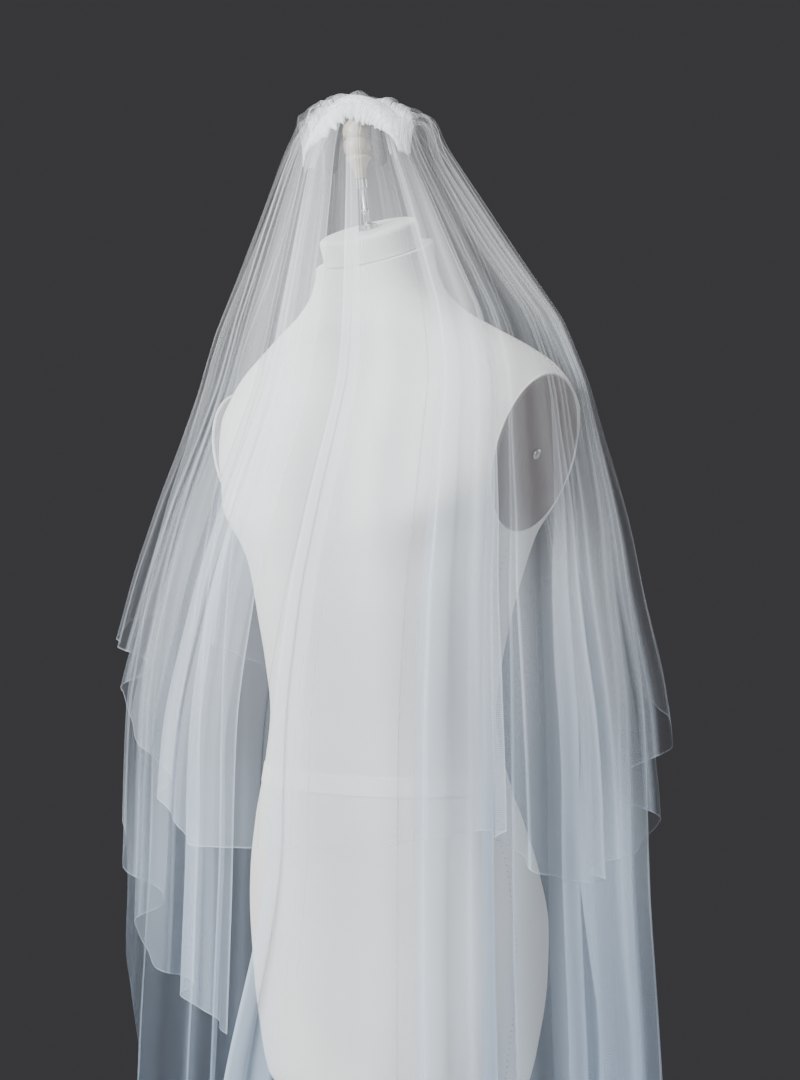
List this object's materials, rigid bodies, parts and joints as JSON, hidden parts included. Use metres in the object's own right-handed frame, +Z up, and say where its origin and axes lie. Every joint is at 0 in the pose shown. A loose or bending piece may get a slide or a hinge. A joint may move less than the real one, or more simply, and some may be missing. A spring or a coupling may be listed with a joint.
{
  "type": "bridal veil on a dress form",
  "caption": "Two-tier sheer bridal veil gathered on a comb, draped in deep folds over a limbless dress form on a round-based stand",
  "frame": {"origin": "centre of the stand's flat underside, on the floor", "axes": "+Z up; the dress form faces -Y; the form's left side is +X"},
  "size_m": [0.5426, 0.5373, 1.6126],
  "materials": {
    "tulle": "fine soft bridal tulle, sheer, slightly cool white",
    "gathers": "tulle gathered tight, near opaque white",
    "linen": "matte off-white linen cover",
    "plate": "mauve-grey satin plate",
    "steel": "satin",
    "knob": "cream, pearly, low gloss",
    "mesh": "black mesh cover",
    "clear_comb": "clear-white comb",
    "iron": "satin dark grey"
  },
  "bodies": {
    "root": {"veil_upper_tier": "tulle", "veil_lower_tier": "tulle", "gather_band": "gathers", "comb": "clear_comb", "comb_rest": "mesh", "finial": "knob", "finial_stem": "steel", "neck_cap": "linen", "form_torso": "linen", "arm_plate_left": "plate", "arm_plate_right": "plate", "plate_screw_left": "steel", "plate_screw_right": "steel", "stand_pole": "steel", "stand_base": "iron"}
  },
  "joints": []
}
